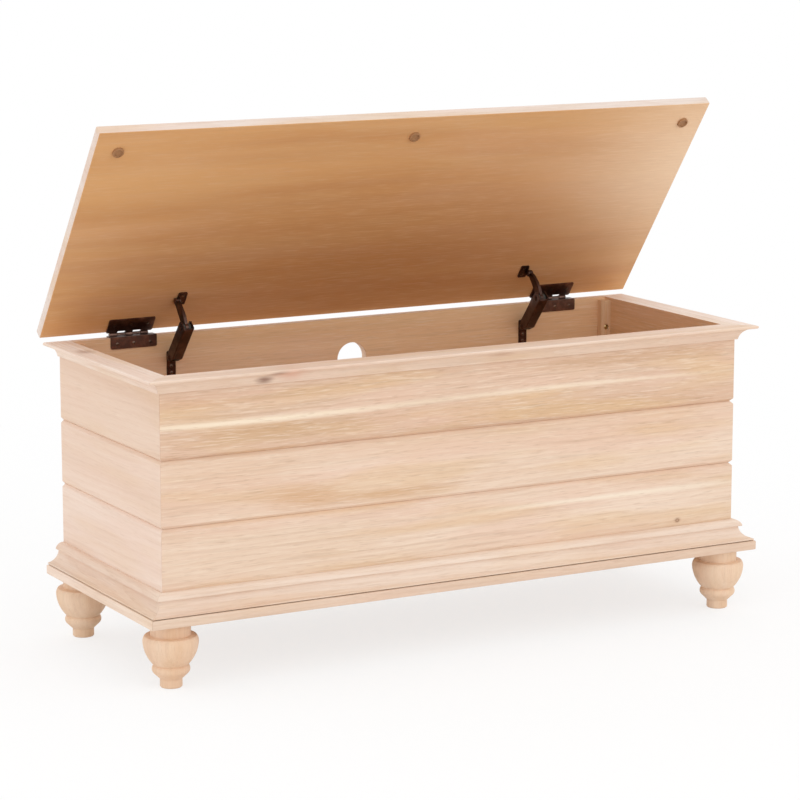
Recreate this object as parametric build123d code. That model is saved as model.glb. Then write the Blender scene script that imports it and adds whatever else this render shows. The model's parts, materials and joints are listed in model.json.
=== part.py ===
# Storage bench: a grooved board chest on turned feet, with a hinged lid held open by two lid stays.
# Millimetres. +X runs to the right along the front, +Y to the back, +Z up.
# The origin is on the floor, under the middle of the bench as it stands with its lid open.
from build123d import *
import os
from math import atan2, cos, degrees, hypot, radians, sin

# Driving dimensions of the chest
wall_width = 956.0
wall_depth = 353.5
wall_thick = 15.0
bottom_board_height = 120.0
middle_board_height = 96.0
top_board_height = 117.5
groove_depth = 4.2
back_hole_radius = 25.0
back_hole_drop = 63.0
block_size = 15.0
block_ease = 4.0
block_drop = 4.0
bottom_thick = 6.0

# Base frame, mouldings and feet
base_overhang = 28.0
base_thick = 13.5
base_rail_width = 74.0
base_ease = 1.5
cornice_reach = 26.0
cornice_height = 22.0
cornice_foot = 3.5
cornice_lip = 4.5
cornice_lip_width = 7.0
cornice_nose = 2.0
cornice_cove = 3.6
skirt_height = 32.0
skirt_reach = 25.5
skirt_round = 12.5
skirt_round_drop = 8.0
skirt_bead = 1.8
skirt_neck = 8.0
skirt_neck_drop = 11.0
skirt_edge = 2.1
skirt_quirk = 1.1
skirt_quirk_depth = 7.5
skirt_cove = 4.4
round_swell = 2.6
foot_height = 93.0
foot_inset_side = 16.4
foot_inset_front = 10.0
foot_inset_back = 30.7
stem_radius = 15.8
stem_height = 12.0
stem_ease = 1.3
bead_low_radius = 24.6
bead_low_height = 20.5
bead_swell = 2.5
throat_radius = 24.2
throat_height = 32.0
bulb_radius = 39.3
bulb_height = 65.5
bulb_swell = 3.4
shoulder_radius = 36.4
shoulder_height = 74.0
shoulder_swell = 0.9
neck_radius = 28.5
neck_height = 75.0
foot_bolt_radius = 3.0
foot_bolt_in_foot = 40.0
foot_bolt_in_rail = 11.0

# Lid
lid_open = 53.5
lid_overhang = 30.0
lid_depth = 398.0
lid_thick = 15.0
lid_ease = 2.0
bumper_radius = 9.7
bumper_inset = 37.0
bumper_side_inset = 36.5
bumper_ease = 1.0

# Hinges
hinge_offset = 366.0
hinge_width = 74.0
leaf_thick = 1.6
leaf_gap = 0.3
leaf_drop = 16.5
lid_leaf_length = 27.0
leaf_corner = 2.5
leaf_notch = 3.2
knuckle_radius = 3.4
knuckle_count = 5
knuckle_span = 62.0
knuckle_gap = 0.3
pin_radius = 1.4
pin_fit = 0.05
barrel_clear = 0.3
lid_clear = 0.4

# Lid stays: with the hinge line they form a parallelogram, so the housing turns with the lid
stay_offset = 306.0
stay_wall_gap = 11.5
stay_drop = 34.3
stay_reach = 61.3
stay_lid_gap = 6.0
housing_width = 17.0
housing_wall = 1.8
housing_back = 7.5
housing_front = 11.0
housing_tail = 7.0
housing_nose = 9.5
housing_chamfer = 9.0
housing_ease = 3.0
housing_fold = 2.6
arm_thick = 5.0
arm_elbow_radius = 7.5
arm_lid_radius = 5.0
arm_elbow_half = 6.0
arm_waist_half = 7.0
arm_lid_half = 3.6
arm_bow = 3.0
rivet_radius = 2.5
rivet_head_radius = 4.0
rivet_head = 1.4
rivet_end_gap = 0.2
elbow_clear = 0.35
washer_radius = 6.8
washer_gap = 0.15
ear_thick = 2.0
ear_radius = 6.0
ear_gap = 0.5
plate_thick = 2.0
plate_width = 14.0
plate_above = 8.5
plate_below = 30.0
tab_length = 24.0
tab_width = 14.5
plate_corner = 2.5
tab_gap = 0.3

# Screws
screw_radius = 1.5
screw_head_radius = 2.8
screw_length = 11.0
screw_fit = 0.1
hinge_screw_count = 3
hinge_screw_pitch = 26.5
leaf_screw_drop = 9.5
lid_screw_reach = 15.5
tab_screw_pitch = 13.0
plate_screw_low = 15.0
plate_screw_high = 25.0
block_screw_drop = 47.0
block_screw_rise = 60.0
block_screw_length = 20.0
block_bore_depth = 3.0
block_bore_clear = 1.5

# Levels and faces that follow from the sizes above
half_width = wall_width / 2
base_top = foot_height + base_thick
groove_low = base_top + bottom_board_height
groove_high = groove_low + middle_board_height
rim = groove_high + top_board_height
axis_behind = barrel_clear + knuckle_radius
axis_above = leaf_thick + leaf_gap / 2
lid_setback = knuckle_radius + lid_clear
lid_gap = 2 * leaf_thick + leaf_gap

# The open lid's top back edge is the part that reaches furthest back
lean = radians(lid_open)
edge_back = lid_setback + lid_ease
edge_up = axis_above + lid_thick - lid_ease
rear_reach = wall_depth + axis_behind - edge_back * cos(lean) + edge_up * sin(lean) + lid_ease
y_front = (base_overhang - rear_reach) / 2
y_back = y_front + wall_depth
y_inner = y_back - wall_thick
hinge_y = y_back + axis_behind
hinge_z = rim + axis_above
hinge_axis = Axis((0, hinge_y, hinge_z), (-1, 0, 0))
lid_rear = hinge_y - lid_setback
lid_under = rim + lid_gap
SIDES = (("left", -1), ("right", 1))

# Pivots of the stays, as the lid stands closed and as it stands open
closed_y = -(lid_setback + stay_reach)
closed_z = axis_above - stay_lid_gap
link_length = hypot(closed_y, closed_z)
link_angle = degrees(atan2(closed_z, closed_y)) - lid_open
link_y = link_length * cos(radians(link_angle))
link_z = link_length * sin(radians(link_angle))
wall_pivot = (y_inner - stay_wall_gap, rim - stay_drop)
elbow = (wall_pivot[0] + link_y, wall_pivot[1] + link_z)
lid_pivot = (hinge_y + link_y, hinge_z + link_z)

nodes = {}


def add(name, shape):
    nodes[name] = shape


def outline(*lines):
    return make_face(Wire(list(lines)))


def polygon(*points):
    return make_face(Polyline(*points, close=True))


def plan(points, low, high):
    """A prism that stands on a plan outline."""
    return extrude(Plane.XY.offset(low) * polygon(*points), amount=high - low)


def section_plane(side):
    """The plane of a wall's cross section: local x points out of the wall, local y points up."""
    reach = wall_width + wall_depth
    if side == "front":
        return Plane((reach, y_front, 0), x_dir=(0, -1, 0), z_dir=(-1, 0, 0)), 2 * reach
    if side == "back":
        return Plane((-reach, y_back, 0), x_dir=(0, 1, 0), z_dir=(1, 0, 0)), 2 * reach
    if side == "left":
        return Plane((-half_width, -reach, 0), x_dir=(-1, 0, 0), z_dir=(0, 1, 0)), 2 * reach
    return Plane((half_width, reach, 0), x_dir=(1, 0, 0), z_dir=(0, -1, 0)), 2 * reach


def mitre_plan(side, out, inward):
    """The plan of one side of the chest: mitred at the front corners and square at the back."""
    if side == "front":
        wide = half_width + out
        narrow = half_width - inward
        y_out = y_front - out
        y_in = y_front + inward
        return [(-wide, y_out), (wide, y_out), (narrow, y_in), (-narrow, y_in)]
    sign = -1 if side == "left" else 1
    x_out = sign * (half_width + out)
    x_in = sign * (half_width - inward)
    return [(x_out, y_front - out), (x_in, y_front + inward), (x_in, y_back), (x_out, y_back)]


def run(side, section, out, inward, low, high):
    """Run a cross section along one side of the chest and mitre its ends."""
    plane, length = section_plane(side)
    bar = extrude(plane * section, amount=length)
    return bar & plan(mitre_plan(side, out, inward), low, high)


def cylinder_x(x_low, x_high, y, z, radius):
    plane = Plane((x_low, y, z), x_dir=(0, 1, 0), z_dir=(1, 0, 0))
    return extrude(plane * Circle(radius), amount=x_high - x_low)


# Walls: three boards on each of three sides, with a V groove along every joint
def board_section(low, high, groove_below, groove_above):
    below = groove_depth if groove_below else 0
    above = groove_depth if groove_above else 0
    points = [(-wall_thick, low), (-below, low)]
    if groove_below:
        points.append((0, low + below))
    points.append((0, high - above))
    if groove_above:
        points.append((-above, high))
    points.append((-wall_thick, high))
    return polygon(*points)


board_rows = (
    ("bottom", base_top, groove_low, False, True),
    ("middle", groove_low, groove_high, True, True),
    ("top", groove_high, rim, True, False),
)
for side in ("front", "left", "right"):
    for row, low, high, groove_below, groove_above in board_rows:
        section = board_section(low, high, groove_below, groove_above)
        add(f"{side}_board_{row}", run(side, section, 0, wall_thick, low, high))

back_plane = Plane((0, y_inner, 0), x_dir=(1, 0, 0), z_dir=(0, -1, 0))
back_width = wall_width - 2 * wall_thick
back_face = Pos(0, (base_top + rim) / 2) * Rectangle(back_width, rim - base_top)
back_face -= Pos(0, rim - back_hole_drop) * Circle(back_hole_radius)
add("back_panel", extrude(back_plane * back_face, amount=-wall_thick))

inner_half = half_width - wall_thick
y_inside = y_front + wall_thick
inside = [(-inner_half, y_inside), (inner_half, y_inside), (inner_half, y_inner), (-inner_half, y_inner)]
floor_top = base_top + bottom_thick
add("bottom_panel", plan(inside, base_top, floor_top))


# Cornice under the lid and skirt moulding over the base, on the front and the ends
def cornice_section():
    lip_x = cornice_reach - cornice_lip_width
    nose_x = cornice_reach - cornice_nose
    lip_z = rim - cornice_lip
    foot_z = rim - cornice_height
    return outline(
        Line((0, rim), (0, foot_z)),
        Line((0, foot_z), (cornice_foot, foot_z)),
        SagittaArc((cornice_foot, foot_z), (lip_x, lip_z), cornice_cove),
        Line((lip_x, lip_z), (nose_x, lip_z)),
        SagittaArc((nose_x, lip_z), (nose_x, rim), -cornice_nose),
        Line((nose_x, rim), (0, rim)),
    )


def skirt_section():
    top = base_top + skirt_height
    round_z = top - skirt_round_drop
    neck_z = top - skirt_neck_drop
    quirk_x = skirt_reach - skirt_quirk_depth
    quirk_z = base_top + skirt_quirk
    edge_z = quirk_z + skirt_edge
    return outline(
        Line((0, base_top), (quirk_x, base_top)),
        Line((quirk_x, base_top), (quirk_x, quirk_z)),
        Line((quirk_x, quirk_z), (skirt_reach, quirk_z)),
        Line((skirt_reach, quirk_z), (skirt_reach, edge_z)),
        SagittaArc((skirt_reach, edge_z), (skirt_neck, neck_z), skirt_cove),
        Line((skirt_neck, neck_z), (skirt_round, round_z - skirt_bead)),
        Line((skirt_round, round_z - skirt_bead), (skirt_round, round_z)),
        SagittaArc((skirt_round, round_z), (0, top), -round_swell),
        Line((0, top), (0, base_top)),
    )


for side in ("front", "left", "right"):
    add(f"cornice_{side}", run(side, cornice_section(), cornice_reach, 0, rim - cornice_height, rim))
    add(f"skirt_{side}", run(side, skirt_section(), skirt_reach, 0, base_top, base_top + skirt_height))

# Base frame: four mitred rails, flush with the chest at the back and proud of it elsewhere
base_x = half_width + base_overhang
base_y = y_front - base_overhang
rail_x = base_x - base_rail_width
rail_front = base_y + base_rail_width
rail_back = y_back - base_rail_width
rail_plans = {
    "front": [(-base_x, base_y), (base_x, base_y), (rail_x, rail_front), (-rail_x, rail_front)],
    "back": [(-base_x, y_back), (base_x, y_back), (rail_x, rail_back), (-rail_x, rail_back)],
    "left": [(-base_x, base_y), (-rail_x, rail_front), (-rail_x, rail_back), (-base_x, y_back)],
    "right": [(base_x, base_y), (rail_x, rail_front), (rail_x, rail_back), (base_x, y_back)],
}
rail_overhangs = {"front": base_overhang, "back": 0, "left": base_overhang, "right": base_overhang}


def rail_section(overhang):
    middle = overhang - base_rail_width / 2
    block = Pos(middle, (foot_height + base_top) / 2) * Rectangle(base_rail_width, base_thick)
    outer = block.vertices().sort_by(Axis.X)[-2:]
    return fillet(outer, base_ease)


for side, points in rail_plans.items():
    plane, length = section_plane(side)
    rail = extrude(plane * rail_section(rail_overhangs[side]), amount=length)
    add(f"base_rail_{side}", rail & plan(points, foot_height, base_top))


# Turned feet, each on a hanger bolt in the base frame
def foot_profile():
    axis_low = (0, 0)
    stem_top = (stem_radius, stem_height)
    bead_low = (bead_low_radius, bead_low_height)
    throat = (throat_radius, throat_height)
    bulb = (bulb_radius, bulb_height)
    shoulder = (shoulder_radius, shoulder_height)
    return outline(
        Line(axis_low, (stem_radius - stem_ease, 0)),
        Line((stem_radius - stem_ease, 0), (stem_radius, stem_ease)),
        Line((stem_radius, stem_ease), stem_top),
        Line(stem_top, bead_low),
        SagittaArc(bead_low, throat, -bead_swell),
        SagittaArc(throat, bulb, -bulb_swell),
        SagittaArc(bulb, shoulder, -shoulder_swell),
        Line(shoulder, (neck_radius, neck_height)),
        Line((neck_radius, neck_height), (neck_radius, foot_height)),
        Line((neck_radius, foot_height), (0, foot_height)),
        Line((0, foot_height), axis_low),
    )


turned_foot = revolve(Plane.XZ * foot_profile(), Axis.Z)
bolt_low = foot_height - foot_bolt_in_foot
bolt_high = foot_height + foot_bolt_in_rail
bolt_hole_radius = foot_bolt_radius + screw_fit
bolts = []
for depth, foot_y in (("front", y_front + foot_inset_front), ("back", y_back - foot_inset_back)):
    for side, sign in SIDES:
        place = Pos(sign * (half_width - foot_inset_side), foot_y, 0)
        stud = Pos(0, 0, bolt_low) * extrude(Circle(foot_bolt_radius), amount=bolt_high - bolt_low)
        hole = Pos(0, 0, bolt_low) * extrude(Circle(bolt_hole_radius), amount=bolt_high - bolt_low)
        bolts.append(place * stud)
        add(f"foot_{depth}_{side}", place * (turned_foot - hole))
        for rail in (f"base_rail_{depth}", f"base_rail_{side}"):
            nodes[rail] = nodes[rail] - place * hole
add("foot_bolts", Compound(bolts))


# Countersunk screws: local z points out of the head, which is flush with the surface it holds
def screw_profile(length, grow):
    head = screw_head_radius + grow
    shank = screw_radius + grow
    return polygon((0, 0), (head, 0), (shank, shank - head), (shank, -length), (0, -length - shank))


def screw(length, grow=0.0):
    return revolve(Plane.XZ * screw_profile(length, grow), Axis.Z)


plain_screw = screw(screw_length)
screw_hole = screw(screw_length, screw_fit)
block_screw = screw(block_screw_length)
block_hole = screw(block_screw_length, screw_fit)


def face_out(x, y, z, direction):
    """A place on a surface whose outward normal is the given direction."""
    return Plane((x, y, z), x_dir=(1, 0, 0), z_dir=direction).location


# Corner blocks, screwed through counterbores to the front boards and the back panel
corner_screws = []
bore_radius = screw_head_radius + block_bore_clear
block_top = rim - block_drop
for depth, wall_y, inward in (("front", y_inside, 1), ("back", y_inner, -1)):
    face_y = wall_y + inward * block_size
    for side, sign in SIDES:
        x_wall = sign * inner_half
        x_face = x_wall - sign * block_size
        corner = [(x_wall, wall_y), (x_face, wall_y), (x_face, face_y - inward * block_ease)]
        corner += [(x_face + sign * block_ease, face_y), (x_wall, face_y)]
        block = plan(corner, floor_top, block_top)
        for height in (rim - block_screw_drop, base_top + block_screw_rise):
            seat_y = face_y - inward * block_bore_depth
            place = face_out(x_wall - sign * block_size / 2, seat_y, height, (0, inward, 0))
            bore = extrude(Circle(bore_radius), amount=2 * block_bore_depth)
            block = block - place * bore - place * block_hole
            row = "top" if height > groove_high else "bottom"
            wall = "back_panel" if depth == "back" else f"front_board_{row}"
            nodes[wall] = nodes[wall] - place * block_hole
            corner_screws.append(place * block_screw)
        add(f"corner_block_{depth}_{side}", block)
add("corner_screws", Compound(corner_screws))

# Lid, drawn closed and then swung open
lid_x = half_width + lid_overhang
lid_block = Pos(0, lid_rear - lid_depth / 2, lid_under + lid_thick / 2) * Box(2 * lid_x, lid_depth, lid_thick)
lid_panel = fillet(lid_block.edges(), lid_ease)
bumper_thick = lid_gap - screw_fit
bumper_y = lid_rear - lid_depth + bumper_inset
bumper = extrude(Circle(bumper_radius), amount=-bumper_thick)
bumper = fillet(bumper.edges().sort_by(Axis.Z)[0], bumper_ease)
bumper_x = lid_x - bumper_side_inset
bumpers = [Pos(x, bumper_y, lid_under) * bumper for x in (-bumper_x, 0, bumper_x)]


# Hinges: an angle leaf over the back panel, a flat leaf under the lid, and a pin
knuckle_pitch = knuckle_span / knuckle_count
bore = pin_radius + pin_fit


def knuckles(centre, odd):
    """Every second knuckle of the barrel, with the strip that joins it to its leaf."""
    rolls = []
    for index in range(knuckle_count):
        if index % 2 == odd:
            continue
        low = centre - knuckle_span / 2 + index * knuckle_pitch + knuckle_gap / 2
        high = low + knuckle_pitch - knuckle_gap
        rolls.append((low, high, cylinder_x(low, high, hinge_y, hinge_z, knuckle_radius)))
    return rolls


def strip(low, high, y_low, y_high, z_low, z_high):
    points = [(low, y_low), (high, y_low), (high, y_high), (low, y_high)]
    return plan(points, z_low, z_high)


hinge_frame_screws = []
hinge_lid_screws = []
lid_leaves = {}
for side, sign in SIDES:
    centre = sign * hinge_offset
    low_x = centre - hinge_width / 2
    high_x = centre + hinge_width / 2
    flange_y = y_inner - leaf_thick
    top_flange = strip(low_x, high_x, flange_y, y_back, rim, rim + leaf_thick)
    down_flange = strip(low_x, high_x, flange_y, y_inner, rim - leaf_drop, rim)
    low_corners = down_flange.edges().filter_by(Axis.Y).sort_by(Axis.Z)[:2]
    down_flange = fillet(low_corners, leaf_corner)
    frame_leaf = top_flange + down_flange
    for low, high, roll in knuckles(centre, 0):
        frame_leaf = frame_leaf + roll + strip(low, high, y_back, hinge_y, rim, rim + leaf_thick)
    lid_leaf_z = lid_under - leaf_thick
    lid_leaf = strip(low_x, high_x, lid_rear - lid_leaf_length, lid_rear, lid_leaf_z, lid_under)
    lid_leaf = fillet(lid_leaf.edges().filter_by(Axis.Z).sort_by(Axis.Y)[:2], leaf_corner)
    for low, high, roll in knuckles(centre, 0):
        notch_low = low - knuckle_gap
        notch_high = high + knuckle_gap
        lid_leaf = lid_leaf - strip(notch_low, notch_high, lid_rear - leaf_notch, lid_rear, lid_leaf_z, lid_under)
    for low, high, roll in knuckles(centre, 1):
        lid_leaf = lid_leaf + roll + strip(low, high, lid_rear, hinge_y, lid_leaf_z, lid_under)
    pin_low = centre - knuckle_span / 2
    pin_high = centre + knuckle_span / 2
    pin_bore = cylinder_x(pin_low, pin_high, hinge_y, hinge_z, bore)
    frame_leaf = frame_leaf - pin_bore
    lid_leaf = lid_leaf - pin_bore
    for index in range(hinge_screw_count):
        x = centre + (index - (hinge_screw_count - 1) / 2) * hinge_screw_pitch
        place = face_out(x, flange_y, rim - leaf_screw_drop, (0, -1, 0))
        frame_leaf = frame_leaf - place * screw_hole
        nodes["back_panel"] = nodes["back_panel"] - place * screw_hole
        hinge_frame_screws.append(place * plain_screw)
        place = face_out(x, lid_rear - lid_screw_reach, lid_leaf_z, (0, 0, -1))
        lid_leaf = lid_leaf - place * screw_hole
        lid_panel = lid_panel - place * screw_hole
        hinge_lid_screws.append(place * plain_screw)
    add(f"hinge_frame_leaf_{side}", frame_leaf)
    add(f"hinge_pin_{side}", cylinder_x(pin_low, pin_high, hinge_y, hinge_z, pin_radius))
    lid_leaves[side] = lid_leaf
add("hinge_frame_screws", Compound(hinge_frame_screws))


# Lid stays
def rivet(x_low, x_high, y, z, radius, head_radius):
    """A rivet across the gap between two outer faces, with a head beyond each."""
    head_low = x_low - rivet_end_gap
    head_high = x_high + rivet_end_gap
    shank = cylinder_x(head_low, head_high, y, z, radius)
    shank = shank + cylinder_x(head_low - rivet_head, head_low, y, z, head_radius)
    return shank + cylinder_x(head_high, head_high + rivet_head, y, z, head_radius)


def link_plane(x, pivot, angle):
    """A plane square to X, with local x along a link and local y to its left."""
    turn = radians(angle)
    return Plane((x, pivot[0], pivot[1]), x_dir=(0, cos(turn), sin(turn)), z_dir=(1, 0, 0))


def folded(front, width, radius):
    """One face of the sheet channel's cross section: open behind, with two rounded folds in front."""
    depth = front + 2 * housing_back
    shape = Pos(front - depth / 2, 0) * Rectangle(depth, width)
    return fillet(shape.vertices().sort_by(Axis.X)[-2:], radius)


def housing_solid(x):
    tip = link_length + housing_nose
    side_view = polygon(
        (-housing_tail, housing_ease - housing_back),
        (housing_ease - housing_tail, -housing_back),
        (tip - housing_ease, -housing_back),
        (tip, housing_ease - housing_back),
        (tip, housing_front - housing_ease),
        (tip - housing_ease, housing_front),
        (housing_chamfer, housing_front),
        (-housing_tail, housing_front - housing_chamfer),
    )
    plane = link_plane(x, wall_pivot, link_angle)
    blank = extrude(plane * side_view, amount=housing_width / 2, both=True)
    outside = folded(housing_front, housing_width, housing_fold)
    within = folded(housing_front - housing_wall, housing_width - 2 * housing_wall, housing_fold - housing_wall)
    along = Plane((x, *wall_pivot), x_dir=plane.y_dir, z_dir=plane.x_dir).offset(-link_length)
    shell = blank & extrude(along * (outside - within), amount=3 * link_length)
    for pivot in (wall_pivot, elbow):
        shell = shell - cylinder_x(x - housing_width, x + housing_width, *pivot, rivet_radius + pin_fit)
    return shell


def arm_solid(x):
    reach_y = lid_pivot[0] - elbow[0]
    reach_z = lid_pivot[1] - elbow[1]
    length = hypot(reach_y, reach_z)
    plane = link_plane(x, elbow, degrees(atan2(reach_z, reach_y)))
    half = length / 2
    bar = outline(
        Line((0, -arm_elbow_half), (0, arm_elbow_half)),
        ThreePointArc((0, arm_elbow_half), (half, arm_bow + arm_waist_half), (length, arm_lid_half)),
        Line((length, arm_lid_half), (length, -arm_lid_half)),
        ThreePointArc((length, -arm_lid_half), (half, arm_bow - arm_waist_half), (0, -arm_elbow_half)),
    )
    side_view = bar + Circle(arm_elbow_radius) + Pos(length, 0) * Circle(arm_lid_radius)
    side_view = side_view - Circle(rivet_radius + elbow_clear)
    side_view = side_view - Pos(length, 0) * Circle(rivet_radius + pin_fit)
    return extrude(plane * side_view, amount=arm_thick / 2, both=True)


def wall_bracket(x):
    plate_y = y_inner - plate_thick
    low = wall_pivot[1] - plate_below
    high = wall_pivot[1] + plate_above
    bracket = strip(x - plate_width / 2, x + plate_width / 2, plate_y, y_inner, low, high)
    bracket = fillet(bracket.edges().filter_by(Axis.Y), plate_corner)
    ear_out = housing_width / 2 - housing_wall - ear_gap
    plane = Plane((x, *wall_pivot), x_dir=(0, 1, 0), z_dir=(1, 0, 0))
    root = stay_wall_gap - plate_thick
    ear = Circle(ear_radius) + Pos(root / 2, 0) * Rectangle(root, 2 * ear_radius)
    ear = ear - Circle(rivet_radius + pin_fit)
    ears = extrude(plane * ear, amount=ear_out, both=True)
    ears = ears - extrude(plane * Rectangle(4 * ear_radius, 4 * ear_radius), amount=ear_out - ear_thick, both=True)
    return bracket + ears


def lid_bracket(x, sign):
    """A tab under the lid, towards the middle, with one ear beside the arm. Drawn with the lid closed."""
    ear_near = x - sign * (arm_thick / 2 + tab_gap)
    ear_far = ear_near - sign * ear_thick
    tab_far = ear_near - sign * tab_width
    pivot_y = lid_rear - stay_reach
    pivot_z = lid_under - stay_lid_gap
    tab_low = pivot_y - tab_length / 2
    tab = strip(min(ear_near, tab_far), max(ear_near, tab_far), tab_low, tab_low + tab_length,
                lid_under - plate_thick, lid_under)
    far_corners = tab.edges().filter_by(Axis.Z).sort_by(Axis.X)
    tab = fillet(far_corners[:2] if sign > 0 else far_corners[-2:], plate_corner)
    plane = Plane((min(ear_near, ear_far), pivot_y, pivot_z), x_dir=(0, 1, 0), z_dir=(1, 0, 0))
    ear = Circle(arm_lid_radius) + Pos(0, stay_lid_gap / 2) * Rectangle(2 * arm_lid_radius, stay_lid_gap)
    ear = ear - Circle(rivet_radius + pin_fit)
    bracket = tab + extrude(plane * ear, amount=ear_thick)
    places = []
    screw_x = (ear_far + tab_far) / 2
    for step in (-1, 1):
        places.append(face_out(screw_x, pivot_y + step * tab_screw_pitch / 2, lid_under - plate_thick, (0, 0, -1)))
    for place in places:
        bracket = bracket - place * screw_hole
    x_ends = sorted((x + sign * arm_thick / 2, ear_far))
    pin = rivet(*x_ends, pivot_y, pivot_z, rivet_radius, rivet_head_radius)
    return bracket, places, pin


stay_wall_screws = []
stay_lid_screws = []
lid_brackets = {}
lid_rivets = {}
inner_gap = housing_width / 2 - housing_wall
for side, sign in SIDES:
    x = sign * stay_offset
    bracket = wall_bracket(x)
    for drop in (plate_screw_low, plate_screw_high):
        place = face_out(x, y_inner - plate_thick, wall_pivot[1] - drop, (0, -1, 0))
        bracket = bracket - place * screw_hole
        nodes["back_panel"] = nodes["back_panel"] - place * screw_hole
        stay_wall_screws.append(place * plain_screw)
    add(f"stay_wall_bracket_{side}", bracket)
    outer = housing_width / 2
    add(f"stay_wall_rivet_{side}", rivet(x - outer, x + outer, *wall_pivot, rivet_radius, rivet_head_radius))
    add(f"stay_housing_{side}", housing_solid(x))
    add(f"stay_elbow_rivet_{side}", rivet(x - outer, x + outer, *elbow, rivet_radius, rivet_head_radius))
    washers = []
    for low, high in ((-inner_gap, -arm_thick / 2 - washer_gap), (arm_thick / 2 + washer_gap, inner_gap)):
        ring = cylinder_x(x + low, x + high, *elbow, washer_radius)
        washers.append(ring - cylinder_x(x + low, x + high, *elbow, rivet_radius + pin_fit))
    add(f"stay_washers_{side}", Compound(washers))
    add(f"stay_arm_{side}", arm_solid(x))
    bracket, places, pin = lid_bracket(x, sign)
    for place in places:
        lid_panel = lid_panel - place * screw_hole
        stay_lid_screws.append(place * plain_screw)
    lid_brackets[side] = bracket
    lid_rivets[side] = pin
add("stay_wall_screws", Compound(stay_wall_screws))


# Everything on the lid swings open together
def swing(shape):
    return shape.rotate(hinge_axis, lid_open)


add("lid_panel", swing(lid_panel))
add("lid_bumpers", Compound([swing(shape) for shape in bumpers]))
add("hinge_lid_screws", Compound([swing(shape) for shape in hinge_lid_screws]))
add("stay_lid_screws", Compound([swing(shape) for shape in stay_lid_screws]))
for side, sign in SIDES:
    add(f"hinge_lid_leaf_{side}", swing(lid_leaves[side]))
    add(f"stay_lid_bracket_{side}", swing(lid_brackets[side]))
    add(f"stay_lid_rivet_{side}", swing(lid_rivets[side]))

os.makedirs("parts", exist_ok=True)
for name, shape in nodes.items():
    export_step(shape, f"parts/{name}.step")
print(len(nodes), "nodes; hinge", hinge_y, hinge_z, "wall pivot", wall_pivot, "lid pivot", lid_pivot, "elbow", elbow)
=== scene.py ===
# Looks of the storage bench: bare sanded wood, turned feet, and dark bronze hinges and lid stays.
# Shapes are drawn in millimetres in the CAD frame and handed to Blender in metres.
import bmesh
import bpy
import json
from math import atan, atan2, cos, hypot, pi, radians, sin
from mathutils import Matrix, Vector


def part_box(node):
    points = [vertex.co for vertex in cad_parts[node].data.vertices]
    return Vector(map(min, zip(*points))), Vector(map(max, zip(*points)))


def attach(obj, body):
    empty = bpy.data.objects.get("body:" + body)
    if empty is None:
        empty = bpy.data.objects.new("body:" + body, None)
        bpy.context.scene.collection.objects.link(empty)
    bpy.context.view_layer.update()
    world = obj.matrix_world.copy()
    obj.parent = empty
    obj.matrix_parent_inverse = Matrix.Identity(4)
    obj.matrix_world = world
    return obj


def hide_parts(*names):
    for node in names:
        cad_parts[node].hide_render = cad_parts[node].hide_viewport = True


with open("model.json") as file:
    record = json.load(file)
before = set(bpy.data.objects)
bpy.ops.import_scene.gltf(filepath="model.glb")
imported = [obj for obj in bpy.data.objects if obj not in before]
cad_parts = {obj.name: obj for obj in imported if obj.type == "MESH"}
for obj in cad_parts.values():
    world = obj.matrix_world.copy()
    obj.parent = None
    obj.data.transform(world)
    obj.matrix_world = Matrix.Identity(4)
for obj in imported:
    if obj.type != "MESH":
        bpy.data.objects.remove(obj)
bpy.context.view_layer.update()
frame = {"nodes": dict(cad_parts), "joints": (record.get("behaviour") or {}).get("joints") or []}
scene = bpy.context.scene
MM = 0.001
SIDES = (("left", -1), ("right", 1))


# Sizes read from the CAD frame
def span(node):
    """The lowest and highest corners of a node, in millimetres."""
    low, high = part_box(node)
    return low / MM, high / MM


def centre_of(node):
    """The middle of a node, in millimetres."""
    low, high = span(node)
    return (low + high) / 2


half_width = span("right_board_top")[1].x
y_front = span("front_board_top")[0].y
y_inner, y_back = (corner.y for corner in span("back_panel"))
wall_thick = y_back - y_inner
inner_half = half_width - wall_thick
groove_high, rim = (corner.z for corner in span("front_board_top"))
groove_low = span("front_board_middle")[0].z
foot_top, base_top = (corner.z for corner in span("base_rail_front"))
base_reach = span("base_rail_right")[1].x - half_width
lid_half = span("lid_panel")[1].x
lid_joint = next(joint for joint in frame["joints"] if joint["name"] == "lid_hinge")
lid_open = -radians(lid_joint["range_deg"][0])
hinge_y, hinge_z = (place / MM for place in lid_joint["pos_m"][1:])

# The lid and what is fixed to it are drawn closed and swung open about the hinge line
LID_DEPTH = 398.0
LID_THICK = 15.0
LID_EASE = 2.0
LID_ABOVE_RIM = 3.5
HINGE_BEHIND_LID = 3.8
lid_rear = hinge_y - HINGE_BEHIND_LID
lid_front = lid_rear - LID_DEPTH
lid_under = rim + LID_ABOVE_RIM
swing = (Matrix.Translation((0, hinge_y, hinge_z)) @ Matrix.Rotation(-lid_open, 4, "X")
         @ Matrix.Translation((0, -hinge_y, -hinge_z)))


# Outlines: lists of (x, y) points
def arc(start, end, bulge, steps=12):
    """Points along a circular arc after start, bulging to the left of the way from start to end."""
    run_x, run_y = end[0] - start[0], end[1] - start[1]
    chord = hypot(run_x, run_y)
    rise = abs(bulge)
    side = 1 if bulge > 0 else -1
    radius = (chord * chord / 4 + rise * rise) / (2 * rise)
    half = 2 * atan(2 * rise / chord)
    points = []
    for step in range(1, steps + 1):
        turn = -half + 2 * half * step / steps
        along = radius * sin(turn) / chord + 0.5
        lift = side * (radius * cos(turn) - radius + rise) / chord
        points.append((start[0] + run_x * along - run_y * lift, start[1] + run_y * along + run_x * lift))
    return points


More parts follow.
